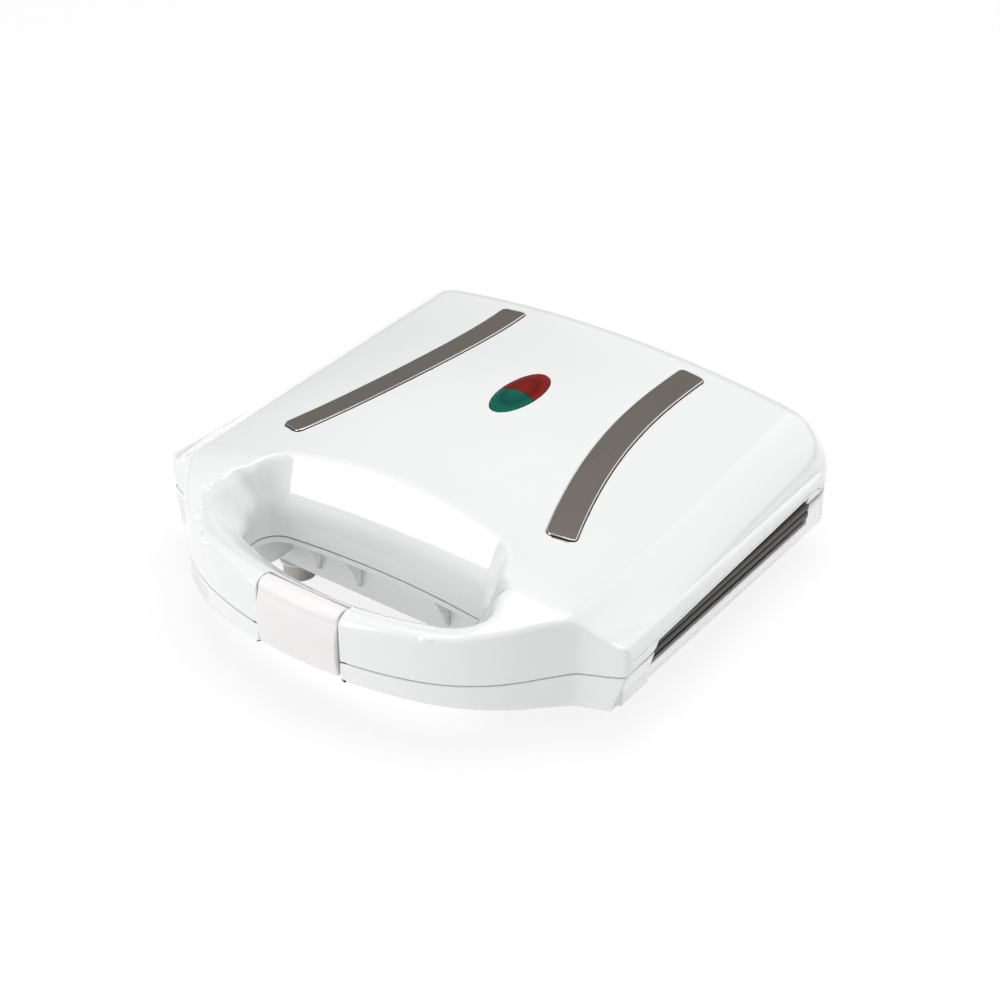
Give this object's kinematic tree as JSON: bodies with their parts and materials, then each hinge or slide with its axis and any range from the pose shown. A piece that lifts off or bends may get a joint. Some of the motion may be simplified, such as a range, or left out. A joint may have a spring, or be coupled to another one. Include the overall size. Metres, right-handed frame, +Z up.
{
  "type": "sandwich toaster",
  "caption": "Countertop sandwich toaster: hinged lid over a base with triangular-pocket hot plates, a hand hole behind the handle bar and a swing latch.",
  "frame": {"origin": "middle of the bounding box's footprint, on the plane the feet stand on", "axes": "+X to the right as seen from the handle, +Y to the rear hinge, +Z up; the handle and latch face -Y"},
  "size_m": [0.231, 0.239, 0.077],
  "materials": {
    "housing": "high gloss white",
    "latch": "matte off-white with a trace of pink",
    "plate": "dark non-stick coating on cast aluminium",
    "element_sheath": "heat-darkened steel sheath",
    "reflector": "plain aluminised sheet",
    "screws": "zinc plated",
    "pins": "drawn steel",
    "feet": "matte, warm light grey",
    "terminal_block": "matte",
    "terminal_brass": "plain",
    "gland": "matte",
    "leads": "woven glass sleeve",
    "trim": "brushed warm grey",
    "red_lens": "dimpled, dark red, translucent",
    "green_lens": "dimpled, dark green, translucent",
    "lamp_holder": "matte",
    "lamp_glass": "clear",
    "thermostat": "ceramic body with a steel strap",
    "fuse": "plain"
  },
  "bodies": {
    "base": {"base_housing": "housing", "lower_plate": "plate", "lower_element": "element_sheath", "lower_tray": "reflector", "lower_plate_screws": "screws", "rubber_feet": "feet", "terminal_block": "terminal_block", "terminal_screws": "terminal_brass", "cord_gland": "gland", "base_leads": "leads", "hinge_pins": "pins"},
    "lid": {"lid_housing": "housing", "left_trim_strip": "trim", "right_trim_strip": "trim", "power_lens": "red_lens", "ready_lens": "green_lens", "lamp_holder": "lamp_holder", "power_lamp": "lamp_glass", "ready_lamp": "lamp_glass", "upper_plate": "plate", "upper_element": "element_sheath", "upper_tray": "reflector", "upper_plate_screws": "screws", "thermostat": "thermostat", "thermal_fuse": "fuse", "fuse_clip": "reflector", "lid_leads": "leads", "latch_pin": "pins"},
    "latch": {"latch": "latch"}
  },
  "joints": [
    {"name": "lid_hinge", "type": "hinge", "parent": "base", "child": "lid", "pos_m": [0, 0.1145, 0.0345], "axis": [-1, 0, 0], "range_deg": [0, 100]},
    {"name": "latch_pivot", "type": "hinge", "parent": "lid", "child": "latch", "pos_m": [0, -0.1128, 0.05133], "axis": [-1, 0, 0], "range_deg": [0, 30]}
  ]
}
